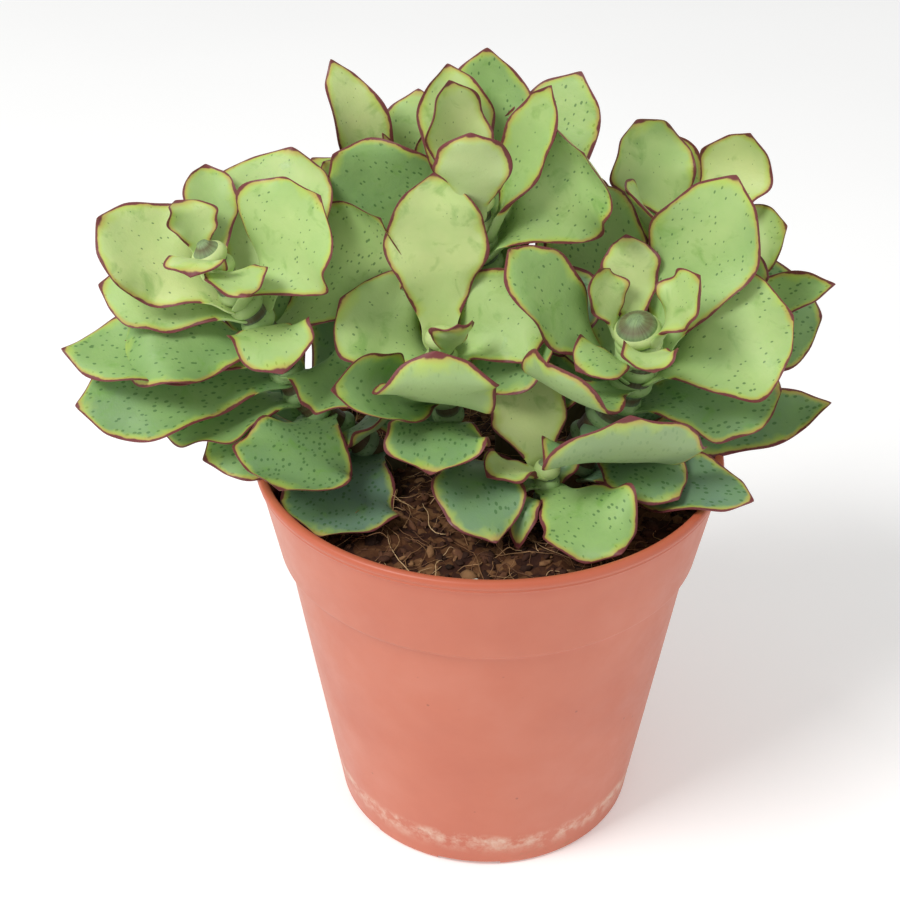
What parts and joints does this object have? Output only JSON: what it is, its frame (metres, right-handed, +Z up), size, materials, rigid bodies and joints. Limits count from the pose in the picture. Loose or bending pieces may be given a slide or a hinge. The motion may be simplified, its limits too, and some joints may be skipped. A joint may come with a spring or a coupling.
{
  "type": "potted succulent",
  "caption": "Branching ripple-leaved jade plant with paired fleshy leaves, growing in a round tapered plastic nursery pot of soil.",
  "frame": {"origin": "middle of the pot's foot, on the plane it stands on", "axes": "+Z up through the pot, -Y towards the front of the plant, +X to the right seen from the front"},
  "size_m": [0.1952, 0.1311, 0.2019],
  "materials": {
    "pot": "satin",
    "soil": "loose, matte",
    "stem": "matte, finely ridged",
    "leaf": "waxy satin"
  },
  "bodies": {
    "root": {"back_leaf_pair_1": "leaf", "back_leaf_pair_2": "leaf", "back_leaf_pair_3": "leaf", "back_leaf_pair_4": "leaf", "back_leaf_pair_5": "leaf", "back_leaf_pair_6": "leaf", "back_leaf_pair_7": "leaf", "back_leaf_pair_8": "leaf", "back_stem": "stem", "left_leaf_pair_1": "leaf", "left_leaf_pair_10": "leaf", "left_leaf_pair_11": "leaf", "left_leaf_pair_12": "leaf", "left_leaf_pair_2": "leaf", "left_leaf_pair_3": "leaf", "left_leaf_pair_4": "leaf", "left_leaf_pair_5": "leaf", "left_leaf_pair_6": "leaf", "left_leaf_pair_7": "leaf", "left_leaf_pair_8": "leaf", "left_leaf_pair_9": "leaf", "left_stem": "stem", "low_leaf_pair_1": "leaf", "low_leaf_pair_2": "leaf", "low_leaf_pair_3": "leaf", "low_stem": "stem", "middle_leaf_pair_1": "leaf", "middle_leaf_pair_2": "leaf", "middle_leaf_pair_3": "leaf", "middle_leaf_pair_4": "leaf", "middle_leaf_pair_5": "leaf", "middle_leaf_pair_6": "leaf", "middle_stem": "stem", "pot": "pot", "rear_leaf_pair_1": "leaf", "rear_leaf_pair_2": "leaf", "rear_leaf_pair_3": "leaf", "rear_leaf_pair_4": "leaf", "rear_leaf_pair_5": "leaf", "rear_stem": "stem", "right_leaf_pair_1": "leaf", "right_leaf_pair_2": "leaf", "right_leaf_pair_3": "leaf", "right_leaf_pair_4": "leaf", "right_leaf_pair_5": "leaf", "right_leaf_pair_6": "leaf", "right_leaf_pair_7": "leaf", "right_leaf_pair_8": "leaf", "right_leaf_pair_9": "leaf", "right_stem": "stem", "soil": "soil", "top_leaf_pair_1": "leaf", "top_leaf_pair_2": "leaf", "top_leaf_pair_3": "leaf", "top_leaf_pair_4": "leaf", "top_leaf_pair_5": "leaf", "top_leaf_pair_6": "leaf", "top_leaf_pair_7": "leaf", "top_stem": "stem"}
  },
  "joints": []
}
